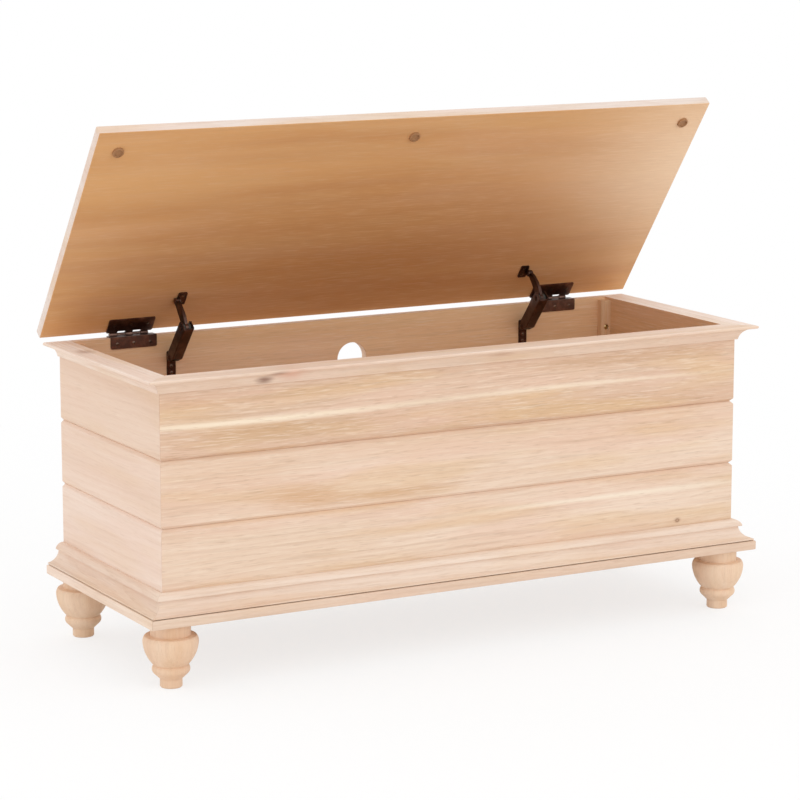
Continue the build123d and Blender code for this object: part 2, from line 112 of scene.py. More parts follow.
def ring(radius, centre=(0, 0), steps=24, first=0.0, last=360.0):
    """Points round a circle, or part of it when first and last are given in degrees."""
    count = steps if last - first >= 360 else steps + 1
    turns = [radians(first + (last - first) * step / steps) for step in range(count)]
    return [(centre[0] + radius * cos(turn), centre[1] + radius * sin(turn)) for turn in turns]


CORNER_STEPS = 6


def rounded(width, height, radius, centre):
    """A rectangle with rounded corners, anticlockwise from the far right one."""
    points = []
    for quarter, (side_x, side_y) in enumerate(((1, 1), (-1, 1), (-1, -1), (1, -1))):
        corner = (centre[0] + side_x * (width / 2 - radius), centre[1] + side_y * (height / 2 - radius))
        points += ring(radius, corner, CORNER_STEPS, 90 * quarter, 90 * quarter + 90)
    return points


# Building blocks for meshes, in millimetres
SMOOTHED_ANGLE = 40
SAME_WAY = 0.7
EASE_SAG = 0.29


def ease_edges(bm, size, segments=3, sharper=30):
    """Round over every edge that turns by more than an angle in degrees."""
    edges = [edge for edge in bm.edges if edge.is_manifold and edge.calc_face_angle() > radians(sharper)]
    bmesh.ops.bevel(bm, geom=edges, offset=size, segments=segments, profile=0.5, affect="EDGES",
                    material=-1, clamp_overlap=True)


def only(kind, geometry):
    """The items of one kind out of what an operator made."""
    return [item for item in geometry if isinstance(item, kind)]


def thicken(bm, faces, thick):
    """Pull flat faces up into a solid."""
    pulled = bmesh.ops.extrude_face_region(bm, geom=faces, use_keep_orig=True)["geom"]
    bmesh.ops.translate(bm, vec=(0, 0, thick), verts=only(bmesh.types.BMVert, pulled))
    bmesh.ops.recalc_face_normals(bm, faces=bm.faces)


def outline_edges(bm, loop, height=0.0):
    """A closed loop of edges through (x, y) points."""
    points = [bm.verts.new((x, y, height)) for x, y in loop]
    return [bm.edges.new((points[index - 1], point)) for index, point in enumerate(points)]


def plate(loops, thick, ease, place):
    """A flat plate from closed outlines, the first outside and the rest holes."""
    bm = bmesh.new()
    for loop in loops:
        outline_edges(bm, loop)
    bmesh.ops.triangle_fill(bm, edges=bm.edges[:], use_beauty=True)
    thicken(bm, bm.faces[:], thick)
    ease_edges(bm, ease)
    bm.transform(place)
    return bm


def block(low, high, ease, segments, place=Matrix()):
    """A box between two corners, with its edges eased."""
    bm = bmesh.new()
    bmesh.ops.create_cube(bm, size=1)
    bmesh.ops.scale(bm, vec=[b - a for a, b in zip(low, high)], verts=bm.verts)
    bmesh.ops.translate(bm, vec=[(a + b) / 2 for a, b in zip(low, high)], verts=bm.verts)
    ease_edges(bm, ease, segments)
    bm.transform(place)
    return bm


def turned(profile, place, steps):
    """A round solid spun from (radius, height) points."""
    bm = bmesh.new()
    points = [bm.verts.new((radius, 0, height)) for radius, height in profile]
    edges = [bm.edges.new(pair) for pair in zip(points, points[1:])]
    bmesh.ops.spin(bm, geom=points + edges, cent=(0, 0, 0), axis=(0, 0, 1), angle=2 * pi, steps=steps,
                   use_merge=True)
    bmesh.ops.remove_doubles(bm, verts=bm.verts, dist=0.001)
    bm.transform(place)
    return bm


def rod(radius, low, high, ease, place):
    """A round bar with rounded ends."""
    flat = radius - ease
    sag = EASE_SAG * ease
    profile = [(0, low), (flat, low)] + arc((flat, low), (radius, low + ease), -sag, 3)
    profile += [(radius, high - ease)] + arc((radius, high - ease), (flat, high), -sag, 3)
    return turned(profile + [(0, high)], place, steps=32)


def sweep(outline, line, ease, segments=3):
    """Run a cross section of (out, up) points along a line that gives the mitred place of each end."""
    bm = bmesh.new()
    face = bm.faces.new([bm.verts.new((out, up, 0)) for out, up in outline])
    thicken(bm, [face], 1)
    for vert in bm.verts:
        vert.co = line(vert.co.z, vert.co.x, vert.co.y)
    bmesh.ops.recalc_face_normals(bm, faces=bm.faces)
    ease_edges(bm, ease, segments)
    return bm


def piece(node, parts, body, look):
    """Join parts into one piece of the bench that rides a body and stands for a CAD node."""
    mesh = bpy.data.meshes.new(node)
    whole = bmesh.new()
    for part in parts:
        part.to_mesh(mesh)
        whole.from_mesh(mesh)
        part.free()
    bmesh.ops.remove_doubles(whole, verts=whole.verts, dist=0.0005)
    bmesh.ops.recalc_face_normals(whole, faces=whole.faces)
    whole.transform(Matrix.Scale(MM, 4))
    whole.to_mesh(mesh)
    whole.free()
    mesh.shade_smooth()
    mesh.set_sharp_from_angle(angle=radians(SMOOTHED_ANGLE))
    mesh.materials.append(look)
    made = bpy.data.objects.new(node, mesh)
    scene.collection.objects.link(made)
    even = made.modifiers.new("even_shading", "WEIGHTED_NORMAL")
    even.keep_sharp = True
    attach(made, body)
    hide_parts(node)
    return made


def face_look(made, look, toward):
    """Give the faces of a piece that point one way a look of their own."""
    made.data.materials.append(look)
    last = len(made.data.materials) - 1
    for face in made.data.polygons:
        if face.normal.dot(Vector(toward)) > SAME_WAY:
            face.material_index = last


def dress(node, look):
    """Give a CAD node a better surface and leave its shape alone."""
    materials = frame["nodes"][node].data.materials
    materials.clear()
    materials.append(look)


# Places to draw on
def facing(direction, x, y, z):
    """A place on a surface whose outward side points to the front, to the back or down."""
    turn = {"front": pi / 2, "back": -pi / 2, "down": pi}[direction]
    return Matrix.Translation((x, y, z)) @ Matrix.Rotation(turn, 4, "X")


def along_x(x, y, z, turn=0.0):
    """A plane square to X: local x towards the back, local y up, then turned."""
    base = Matrix(((0, 0, 1, x), (1, 0, 0, y), (0, 1, 0, z), (0, 0, 0, 1)))
    return base @ Matrix.Rotation(turn, 4, "Z")


# Materials
def colour(code):
    """An sRGB hex colour as linear values."""
    parts = [int(code[i:i + 2], 16) / 255 for i in (1, 3, 5)]
    return [p / 12.92 if p <= 0.04045 else ((p + 0.055) / 1.055) ** 2.4 for p in parts] + [1.0]


def add_node(tree, kind, sockets, **settings):
    """Add a shader node; sockets take either another node's output or a constant."""
    node = tree.nodes.new(kind)
    for key, value in settings.items():
        setattr(node, key, value)
    for key, value in sockets.items():
        if isinstance(value, bpy.types.NodeSocket):
            tree.links.new(value, node.inputs[key])
        else:
            node.inputs[key].default_value = value
    return node


def new_material(name):
    """An empty material, its node tree, and the place of each point on the piece."""
    material = bpy.data.materials.new(name)
    material.use_nodes = True
    tree = material.node_tree
    tree.nodes.clear()
    return material, tree, add_node(tree, "ShaderNodeTexCoord", {}).outputs["Object"]


def finish_material(tree, shader):
    """Send a shader to the surface of its material."""
    add_node(tree, "ShaderNodeOutputMaterial", {"Surface": shader.outputs[0]})


# Bare rubberwood, sanded and left unfinished: pale pinkish boards with tan heart bands, short pale and brown
# dashes along the grain, and now and then a cream sap streak or a knot. Dry, so it has only a dull sheen.
# Each layer of the figure has its width across the grain in mm, that width over its length, and its detail.
# Pores are finer than a pixel of the photo, so the two dash layers are drawn about three times too wide.
FIGURE = {
    "heart": (45, 0.06, 3), "blush": (60, 0.16, 2), "gold": (38, 0.12, 2), "streak": (6, 0.03, 4),
    "pale_dash": (1.8, 0.05, 2), "brown_dash": (1.6, 0.06, 2), "fibre": (0.75, 0.02, 2),
}
# How each layer lies on the boards: where it begins to show and shows in full, its cover, and its shade.
# The heart bands take each board's own tan.
PORE_BROWN = "#B08A6A"
COATS = (
    ("heart", 0.36, 0.66, 0.85, None), ("rings", 0.45, 1.0, 0.26, "#D2A683"),
    ("blush", 0.46, 0.64, 0.5, "#E6C0AA"), ("gold", 0.5, 0.66, 0.5, "#E0BC8E"),
    ("streak", 0.5, 0.72, 0.3, PORE_BROWN), ("pale_dash", 0.52, 0.7, 0.34, "#F9EAD8"),
    ("brown_dash", 0.56, 0.72, 0.36, PORE_BROWN),
)
GRAIN_TURNS = {"X": (0, 0, 0), "Y": (0, 0, -pi / 2), "Z": (0, pi / 2, 0)}
RING_WIDTH = 8.2
PITH_OFFSET = (0, 160, 30)
PITH_TURN = (0, 0.02, 0.05)
WAVER_WIDTH = 100
WAVER_STRETCH = 0.22
GRAIN_SWAY = 18
MARK_WANDER = 10


def wood_figure(tree, where, grain, shift, lean):
    """The layers of the figure, drawn out along the grain, and the slow waver that bends them."""
    level = add_node(tree, "ShaderNodeMapping", {"Vector": where, "Rotation": (lean, 0, 0)}).outputs[0]
    along = add_node(tree, "ShaderNodeMapping", {"Vector": level, "Rotation": GRAIN_TURNS[grain]}).outputs[0]
    moved = add_node(tree, "ShaderNodeVectorMath", {0: along, 1: shift}, operation="ADD").outputs[0]
    slow = add_node(tree, "ShaderNodeVectorMath", {0: moved, 1: (WAVER_STRETCH, 1, 1)},
                    operation="MULTIPLY").outputs[0]
    waver = add_node(tree, "ShaderNodeTexNoise", {
        "Vector": slow, "Scale": 1 / (WAVER_WIDTH * MM), "Roughness": 0.45}).outputs["Color"]
    bend = (0, GRAIN_SWAY * MM, GRAIN_SWAY * MM)
    sway = add_node(tree, "ShaderNodeVectorMath", {0: waver, 1: bend, 2: moved},
                    operation="MULTIPLY_ADD").outputs[0]
    layers = {}
    for layer, (width, stretch, detail) in FIGURE.items():
        pulled = add_node(tree, "ShaderNodeVectorMath", {0: sway, 1: (stretch, 1, 1)}, operation="MULTIPLY")
        layers[layer] = add_node(tree, "ShaderNodeTexNoise", {
            "Vector": pulled.outputs[0], "Scale": 1 / (width * MM), "Detail": detail,
            "Roughness": 0.55}).outputs[0]
    pith = add_node(tree, "ShaderNodeMapping", {
        "Vector": sway, "Location": [v * MM for v in PITH_OFFSET], "Rotation": PITH_TURN}).outputs[0]
    # A wave texture of scale 1 has 20 rings in 2 pi metres
    layers["rings"] = add_node(tree, "ShaderNodeTexWave", {
        "Vector": pith, "Scale": 2 * pi / 20 / (RING_WIDTH * MM), "Distortion": 2.5, "Detail Scale": 0.12},
        wave_type="RINGS", rings_direction="X", wave_profile="SAW").outputs["Fac"]
    return layers, waver


def mark_cover(tree, where, waver, edge, middle, reach, strength):
    """The cover of a knot, a stain or a patch of painted light or shade: full at its middle, gone at its
    reach, with a wavering, ragged edge.
    """
    drift = [MARK_WANDER * MM] * 3
    wander = add_node(tree, "ShaderNodeVectorMath", {0: waver, 1: drift, 2: where},
                      operation="MULTIPLY_ADD").outputs[0]
    spot = [(v + MARK_WANDER / 2) * MM for v in middle]
    offset = add_node(tree, "ShaderNodeVectorMath", {0: wander, 1: spot}, operation="SUBTRACT").outputs[0]
    grown = add_node(tree, "ShaderNodeVectorMath", {0: offset, 1: [1 / (v * MM) for v in reach]},
                     operation="MULTIPLY").outputs[0]
    far = add_node(tree, "ShaderNodeVectorMath", {0: grown}, operation="LENGTH").outputs["Value"]
    ragged = add_node(tree, "ShaderNodeMath", {0: edge, 1: 0.5, 2: far}, operation="MULTIPLY_ADD").outputs[0]
    return add_node(tree, "ShaderNodeMapRange", {
        "Value": ragged, "From Min": 0.25, "From Max": 1.3, "To Min": strength, "To Max": 0.0},
        interpolation_type="SMOOTHSTEP").outputs[0]


def sanded_wood(name, grain, shift, pale, tan, amount=1.0, marks=(), lean=0.0):
    """Wood with its grain along an axis; each mark is a knot, a stain or a patch of painted light or shade:
    middle, reach, strength, shade.
    """
    material, tree, where = new_material("sanded_rubberwood_" + name)
    layers, waver = wood_figure(tree, where, grain, shift, lean)
    coats = []
    for layer, low, high, most, shade in COATS:
        if layer == "heart":
            shade = tan
        else:
            most *= amount
        cover = add_node(tree, "ShaderNodeMapRange", {
            "Value": layers[layer], "From Min": low, "From Max": high, "To Max": most}).outputs[0]
        coats.append((cover, shade))
    pores = coats[-1][0]
    for middle, reach, strength, shade in marks:
        cover = mark_cover(tree, where, waver, layers["pale_dash"], middle, reach, strength)
        coats.insert(-2, (cover, shade))
    tone = colour(pale)
    for cover, shade in coats:
        tone = add_node(tree, "ShaderNodeMix", {0: cover, 6: tone, 7: colour(shade)},
                        data_type="RGBA").outputs[2]
    sheen = add_node(tree, "ShaderNodeMapRange", {
        "Value": layers["streak"], "From Min": 0.3, "From Max": 0.7,
        "To Min": 0.52, "To Max": 0.68}).outputs[0]
    lift = add_node(tree, "ShaderNodeMath", {0: layers["fibre"], 1: pores}, operation="SUBTRACT").outputs[0]
    bump = add_node(tree, "ShaderNodeBump", {
        "Height": lift, "Strength": 0.2, "Distance": 0.2 * MM}).outputs[0]
    finish_material(tree, add_node(tree, "ShaderNodeBsdfPrincipled", {
        "Base Color": tone, "Roughness": sheen, "Normal": bump, "Specular IOR Level": 0.3}))
    return material


# Steel blackened to oil-rubbed bronze: dark brown satin metal, rubbed a little redder and brighter in patches
# a fingertip wide, over a fine grit from the plating bath
RUBBED_PATCH = 11.1
PLATING_GRIT = 0.67


def rubbed_bronze(name, deep, rubbed, smooth):
    material, tree, where = new_material("oil_rubbed_bronze_" + name)
    cloud = add_node(tree, "ShaderNodeTexNoise", {
        "Vector": where, "Scale": 1 / (RUBBED_PATCH * MM), "Detail": 3.0, "Roughness": 0.5}).outputs[0]
    grit = add_node(tree, "ShaderNodeTexNoise", {
        "Vector": where, "Scale": 1 / (PLATING_GRIT * MM), "Detail": 2.0}).outputs[0]
    wear = add_node(tree, "ShaderNodeMapRange", {
        "Value": cloud, "From Min": 0.45, "From Max": 0.75}).outputs[0]
    tone = add_node(tree, "ShaderNodeMix", {0: wear, 6: colour(deep), 7: colour(rubbed)}, data_type="RGBA")
    rough = add_node(tree, "ShaderNodeMapRange", {
        "Value": cloud, "From Min": 0.3, "From Max": 0.7,
        "To Min": smooth + 0.1, "To Max": smooth}).outputs[0]
    bump = add_node(tree, "ShaderNodeBump", {
        "Height": grit, "Strength": 0.1, "Distance": 0.1 * MM}).outputs[0]
    finish_material(tree, add_node(tree, "ShaderNodeBsdfPrincipled", {
        "Base Color": tone.outputs[2], "Metallic": 1.0, "Roughness": rough, "Normal": bump}))
    return material


# Small parts with a plain surface: two close tones in clouds of a few millimetres, and a little unevenness
def cloudy(name, first, second, cloud_width, metal, rough):
    material, tree, where = new_material(name)
    cloud = add_node(tree, "ShaderNodeTexNoise", {
        "Vector": where, "Scale": 1 / (cloud_width * MM), "Detail": 4.0}).outputs[0]
    tone = add_node(tree, "ShaderNodeMix", {0: cloud, 6: colour(first), 7: colour(second)}, data_type="RGBA")
    bump = add_node(tree, "ShaderNodeBump", {
        "Height": cloud, "Strength": 0.15, "Distance": 0.2 * MM}).outputs[0]
    finish_material(tree, add_node(tree, "ShaderNodeBsdfPrincipled", {
        "Base Color": tone.outputs[2], "Metallic": metal, "Roughness": rough, "Normal": bump}))
    return material


hinge_bronze = rubbed_bronze("hinges", "#665048", "#85695D", 0.3)
stay_bronze = rubbed_bronze("stays", "#4E3B35", "#664D43", 0.3)
screw_bronze = rubbed_bronze("screws", "#6E5A4E", "#94806F", 0.28)
# Zinc plate with a yellow passivate: bright, straw-coloured and faintly uneven
zinc = cloudy("yellow_zinc_plated_steel", "#B79B62", "#D8C391", 5.6, 1.0, 0.3)
# Moulded rubber: dull tan-brown, close to the wood that it protects
rubber = cloudy("brown_rubber_pad", "#9C6E47", "#AE8057", 3.3, 0.0, 0.6)
# Pressed fibre: dark grey and dry
fibre = cloudy("grey_fibre_washer", "#3A3733", "#55514B", 1.7, 0.0, 0.75)


# Walls, mouldings and base rails are swept along lines, from end 0 to end 1
def wall_line(side):
    """The line a wall, cornice or skirt follows: mitred at the front corners and square at the back."""
    def place(end, out, up):
        reach = half_width + out
        if side == "front":
            return Vector((reach if end > 0.5 else -reach, y_front - out, up))
        sign = -1 if side == "left" else 1
        return Vector((sign * reach, y_front - out if end > 0.5 else y_back, up))
    return place


def rail_line(side):
    """The line a base rail follows: mitred at all four corners, flush with the chest at the back."""
    def place(end, out, up):
        reach = half_width + out
        if side == "back":
            reach += base_reach
            return Vector((reach if end > 0.5 else -reach, y_back + out, up))
        if side == "front":
            return Vector((reach if end > 0.5 else -reach, y_front - out, up))
        sign = -1 if side == "left" else 1
        return Vector((sign * reach, y_front - out if end > 0.5 else y_back - base_reach + out, up))
    return place


# Outlines of the boards and mouldings, as (out, up) from the face of the wall
GROOVE = 4.2
BOARD_EASE = 0.7
board_rows = {
    "bottom": [(-wall_thick, base_top), (0, base_top), (0, groove_low - GROOVE), (-GROOVE, groove_low),
               (-wall_thick, groove_low)],
    "middle": [(-wall_thick, groove_low), (-GROOVE, groove_low), (0, groove_low + GROOVE),
               (0, groove_high - GROOVE), (-GROOVE, groove_high), (-wall_thick, groove_high)],
    "top": [(-wall_thick, groove_high), (-GROOVE, groove_high), (0, groove_high + GROOVE), (0, rim),
            (-wall_thick, rim)],
}

MOULDING_EASE = 0.4
CORNICE_COVE = 3.6
CORNICE_NOSE = 2.0
cornice_foot = (3.5, rim - 22)
cove_end = (19, rim - 4.5)
lip_low = (24, rim - 4.5)
lip_high = (24, rim)
cornice = [(0, rim), (0, cornice_foot[1]), cornice_foot] + arc(cornice_foot, cove_end, CORNICE_COVE)
cornice += [lip_low] + arc(lip_low, lip_high, -CORNICE_NOSE, 8)

SKIRT_HEIGHT = 32.0
SKIRT_REACH = 25.5
SKIRT_COVE = 4.4
SKIRT_ROUND = 2.6
QUIRK_DEPTH = 7.5
skirt_top = base_top + SKIRT_HEIGHT
quirk_top = base_top + 1.1
skirt_edge = (SKIRT_REACH, base_top + 3.2)
skirt_neck = (8, skirt_top - 11)
round_low = (12.5, skirt_top - 8)
quirk_back = SKIRT_REACH - QUIRK_DEPTH
skirt = [(0, skirt_top), (0, base_top), (quirk_back, base_top), (quirk_back, quirk_top)]
skirt += [(SKIRT_REACH, quirk_top), skirt_edge] + arc(skirt_edge, skirt_neck, SKIRT_COVE)
skirt += [(12.5, skirt_top - 9.8), round_low] + arc(round_low, (0, skirt_top), -SKIRT_ROUND)[:-1]

# Tones of each board and the marks on the front, where a reach of THROUGH runs through the board's thickness
THROUGH = 9000
knot = (377, 0, 147)
board_looks = {
    ("front", "top"): dict(pale="#E2C4AC", tan="#D6B194", marks=(
        ((-310, 0, 352), (250, THROUGH, 20), 0.75, "#CCA57E"),
        ((280, 0, 404), (330, THROUGH, 16), 0.6, "#CFA886"),
        ((-330, 0, 369), (420, THROUGH, 7), 1.0, "#F6E4CB"),
        ((160, 0, 371), (420, THROUGH, 5), 0.8, "#F4E1C9"),
        ((-430, 0, 402), (90, THROUGH, 16), 0.35, "#D9AC90"))),
    ("front", "middle"): dict(pale="#ECD4BF", tan="#E2C2A7", amount=0.75, marks=(
        ((-380, 0, 285), (190, THROUGH, 60), 0.35, "#DDB595"),
        ((-255, 0, 252), (95, THROUGH, 26), 0.65, "#D2A67C"),
        ((-120, 0, 243), (190, THROUGH, 11), 0.6, "#D0A478"))),
    ("front", "bottom"): dict(pale="#EED7C3", tan="#E3C7AD", amount=0.75, marks=(
        ((260, 0, 197), (360, THROUGH, 6), 0.75, "#F8EAD6"),
        ((-60, 0, 186), (240, THROUGH, 9), 0.4, "#DDB78F"),
        (knot, (9, THROUGH, 6), 0.55, "#B98C6B"), (knot, (5.4, THROUGH, 4.4), 0.9, "#7E5C46"),
        (knot, (2.6, THROUGH, 2.0), 0.9, "#D8B397"))),
}
END_TONES = {
    "bottom": ("#F4DFD0", "#EED5C4"), "middle": ("#F0D8C6", "#E7CAB5"), "top": ("#EACFBA", "#E1C2AB"),
}
for side in ("left", "right"):
    for row, (pale, tan) in END_TONES.items():
        board_looks[side, row] = dict(pale=pale, tan=tan, amount=0.35)

# Tones and marks of the cornice, and of the ledge that its upper side makes with the rim of the walls; the
# ledge tones are paler copies, painted light on the upward faces
front_cornice = dict(pale="#EBD3BF", tan="#E3C5AD", amount=0.6, marks=(
    ((-320, 0, 425), (20, THROUGH, 8), 0.9, "#94705F"), ((-302, 0, 434), (22, THROUGH, 6), 0.8, "#9C7767"),
    ((-280, 0, 431), (36, THROUGH, 13), 0.5, "#DB9F88"), ((60, 0, 432), (30, THROUGH, 7), 0.5, "#C39A80")))
end_cornice = dict(pale="#F6E4D5", tan="#EDD5C1", amount=0.6, marks=(
    ((-484, 78, 440), (20, 24, 8), 0.5, "#9A6B48"),))
front_ledge_painted_light = dict(front_cornice, pale="#F6E4D5", tan="#EDD5C1")
end_ledge_painted_light = dict(end_cornice, pale="#FEF3EA", tan="#F8E8DB")
# Darker, yellower copies of the wood for the inward faces of the chest: painted shade inside it
painted_shade_inside_looks = {}
for grain, pale, tan in (("X", "#E9C298", "#DDB084"), ("Y", "#E1B88E", "#D5A67A")):
    painted_shade_inside_looks[grain] = sanded_wood(f"inside_{grain}", grain, (5.1, 0.4, 2.2), pale, tan, 0.6)

# The walls with their cornice and skirt, on the front and the two ends
inward = {"front": (0, 1, 0), "left": (1, 0, 0), "right": (-1, 0, 0)}
up = (0, 0, 1)
for number, side in enumerate(inward):
    line = wall_line(side)
    grain = "X" if side == "front" else "Y"
    shift = (1.1 * number, 2.3, 0.7)
    cornice_tones, ledge_painted_light_tones = (front_cornice, front_ledge_painted_light) if side == "front" else (end_cornice, end_ledge_painted_light)
    # A paler look for the upward faces: painted light
    ledge_painted_light_look = sanded_wood(f"{side}_ledge", grain, shift, **ledge_painted_light_tones)
    for row_number, (row, outline) in enumerate(board_rows.items()):
        index = 3 * number + row_number
        look = sanded_wood(f"{side}_{row}", grain, (0.37 * index, 0.23 * index, 0.31 * index),
                           **board_looks[side, row])
        board = piece(f"{side}_board_{row}", [sweep(outline, line, BOARD_EASE)], "chest", look)
        # Inward faces take the darker inside look, painted shade
        face_look(board, painted_shade_inside_looks[grain], inward[side])
        # The top board's upward face takes the paler ledge look, painted light
        if row == "top":
            face_look(board, ledge_painted_light_look, up)
    look = sanded_wood(f"{side}_cornice", grain, shift, **cornice_tones)
    moulding = sweep(cornice, line, MOULDING_EASE, segments=2)
    # The cornice's upward faces take the paler ledge look, painted light
    face_look(piece(f"cornice_{side}", [moulding], "chest", look), ledge_painted_light_look, up)
    look = sanded_wood(f"{side}_skirt", grain, shift, "#EFDBCA", "#E4CAB5", 0.6)
    moulding = sweep(skirt, line, MOULDING_EASE, segments=2)
    piece(f"skirt_{side}", [moulding], "chest", look)

# Base frame: four mitred rails
RAIL_WIDTH = 74.0
RAIL_EASE = 1.3
for number, side in enumerate(("front", "back", "left", "right")):
    outer = 0 if side == "back" else base_reach
    inner = outer - RAIL_WIDTH
    outline = [(inner, foot_top), (outer, foot_top), (outer, base_top), (inner, base_top)]
    grain = "X" if side in ("front", "back") else "Y"
    # The left rail is paler than the others: painted light on the end that faces the key lamp
    pale, tan = ("#FBEADB", "#F3DDCA") if side == "left" else ("#E8D0BB", "#DDC0A8")
    look = sanded_wood(f"{side}_rail", grain, (3.3, 0.9 * number, 1.7), pale, tan, 0.6)
    piece(f"base_rail_{side}", [sweep(outline, rail_line(side), RAIL_EASE)], "chest", look)

# Back panel with its round hole, and the bottom panel
HOLE_RADIUS = 25.0
HOLE_DROP = 63.0
PANEL_EASE = 0.8
back_outline = [(-inner_half, base_top), (inner_half, base_top), (inner_half, rim), (-inner_half, rim)]
back_hole = ring(HOLE_RADIUS, (0, rim - HOLE_DROP), 96)
back = plate([back_outline, back_hole], wall_thick, PANEL_EASE, facing("front", 0, y_back, 0))
back_look = sanded_wood("back", "X", (6.3, 2.4, 1.2), "#F2DAC4", "#E5C5A8", 0.65)
panel = piece("back_panel", [back], "chest", back_look)
# The back panel's inward face and the bottom panel take the darker inside look, painted shade
face_look(panel, painted_shade_inside_looks["X"], (0, -1, 0))
dress("bottom_panel", painted_shade_inside_looks["X"])

# Turned feet on hanger bolts, as (radius, height): stem, bead, throat, bulb, shoulder and neck
STEM_EASE = 1.3
BEAD_SWELL = 2.5
BULB_SWELL = 3.4
SHOULDER_SWELL = 0.9
stem = (15.8, 12)
bead = (24.6, 20.5)
throat = (24.2, 32)
bulb = (39.3, 65.5)
shoulder = (36.4, 74)
neck = (28.5, 75)
foot_outline = [(0, 0), (stem[0] - STEM_EASE, 0), (stem[0], STEM_EASE), stem, bead]
foot_outline += arc(bead, throat, -BEAD_SWELL, 14) + arc(throat, bulb, -BULB_SWELL, 18)
foot_outline += arc(bulb, shoulder, -SHOULDER_SWELL, 8) + [neck, (neck[0], foot_top), (0, foot_top)]
for number, depth in enumerate(("front", "back")):
    for side, sign in SIDES:
        node = f"foot_{depth}_{side}"
        centre = centre_of(node)
        look = sanded_wood(node, "Z", (0.8 * number + 0.3 * sign, 4.1, 0.6), "#EFD2B7", "#E6C09F", 0.4)
        foot = turned(foot_outline, Matrix.Translation((centre.x, centre.y, 0)), steps=96)
        piece(node, [foot], "chest", look)
dress("foot_bolts", zinc)

# Screws with a cross recess, whose arms are shares of the head's radius
SHANK_RADIUS = 1.5
SCREW_POINT = 1.5
POINT_RADIUS = 0.05
HEAD_EDGE = 0.25
HEAD_TAPER = 0.1
RECESS_DEPTH = 1.1
RECESS_ARM = 0.56
RECESS_HALF = 0.15
RECESS_TAPER = 0.7


def screw(length, place, head=2.8, dome=0.35):
    """A screw whose low domed head has its rim on the surface that it holds."""
    bm = bmesh.new()
    reach, half = RECESS_ARM * head, RECESS_HALF * head
    cross = []
    for turn_x, turn_y in ((1, 0), (0, 1), (-1, 0), (0, -1)):
        for x, y in ((reach, -half), (reach, half), (half, half)):
            cross.append((x * turn_x - y * turn_y, x * turn_y + y * turn_x))
    edges = outline_edges(bm, ring(head, steps=32))
    cross_edges = outline_edges(bm, cross, dome)
    bmesh.ops.triangle_fill(bm, edges=edges + cross_edges, use_beauty=True)
    recess = bm.faces.new([edge.verts[1] for edge in cross_edges])
    sunk = bmesh.ops.extrude_discrete_faces(bm, faces=[recess])["faces"][0]
    bmesh.ops.translate(bm, vec=(0, 0, -RECESS_DEPTH), verts=sunk.verts)
    bmesh.ops.scale(bm, vec=(RECESS_TAPER, RECESS_TAPER, 1), verts=sunk.verts)
    for radius, height in ((head - HEAD_TAPER, -HEAD_EDGE), (SHANK_RADIUS, -SHANK_RADIUS),
                           (SHANK_RADIUS, -length), (POINT_RADIUS, -length - SCREW_POINT)):
        pulled = bmesh.ops.extrude_edge_only(bm, edges=edges)["geom"]
        edges = only(bmesh.types.BMEdge, pulled)
        for vert in only(bmesh.types.BMVert, pulled):
            flat = Vector((vert.co.x, vert.co.y, 0)).normalized() * radius
            vert.co = (flat.x, flat.y, height)
    bmesh.ops.holes_fill(bm, edges=edges, sides=0)
    bmesh.ops.recalc_face_normals(bm, faces=bm.faces)
    bm.transform(place)
    return bm


# Corner blocks inside the chest keep their counterbored CAD shape, with pan-head screws sunk in the bores
BLOCK_SCREW_OUT = 12.8
BLOCK_SCREW_LENGTH = 20
BLOCK_SCREW_HEAD = 3.8
BLOCK_SCREW_DOME = 1.3
block_screw_heights = (rim - 47, base_top + 60)
corner_screws = []
block_rows = (("front", y_front + wall_thick, 1, "back"), ("back", y_inner, -1, "front"))
for depth, wall_y, way_in, way in block_rows:
    for side, sign in SIDES:
        node = f"corner_block_{depth}_{side}"
        shift = (sign * 0.7, way_in * 1.3, 3.9)
        dress(node, sanded_wood(f"block_{depth}_{side}", "Z", shift, "#E6C4A2", "#D8B08A", 0.7))
        for height in block_screw_heights:
            seat = facing(way, centre_of(node).x, wall_y + way_in * BLOCK_SCREW_OUT, height)
            corner_screws.append(screw(BLOCK_SCREW_LENGTH, seat, BLOCK_SCREW_HEAD, BLOCK_SCREW_DOME))
piece("corner_screws", corner_screws, "chest", zinc)

# Lid, with a darker tan underside that is painted shade, and three dished rubber bumpers
lid_look = sanded_wood("lid", "X", (7.3, 1.9, 0.2), "#ECDED5", "#E0CBBC", 0.6, lean=lid_open)
# Painted shade darkest in the lower middle of the underside, and painted light towards its upper left and
# over its right side
painted_light_and_shade_under_marks = (
    ((30, 110, 520), (520, 260, 190), 0.45, "#A8713F"), ((-400, 10, 720), (260, 90, 160), 0.35, "#E6B57E"),
    ((550, 60, 695), (340, 270, 270), 1.0, "#F4D4B2"))
# A darker, more orange copy of the lid's wood for its underside: painted shade
painted_shade_under_look = sanded_wood("lid_under", "X", (8.1, 1.9, 0.2), "#D8A36C", "#CB935E", 0.25, painted_light_and_shade_under_marks, lid_open)
lid_low = (-lid_half, lid_front, lid_under)
lid_high = (lid_half, lid_rear, lid_under + LID_THICK)
lid = block(lid_low, lid_high, LID_EASE, segments=4, place=swing)
panel = piece("lid_panel", [lid], "lid", lid_look)
# The lid's downward faces take the painted shade look
face_look(panel, painted_shade_under_look, swing.to_3x3() @ Vector((0, 0, -1)))

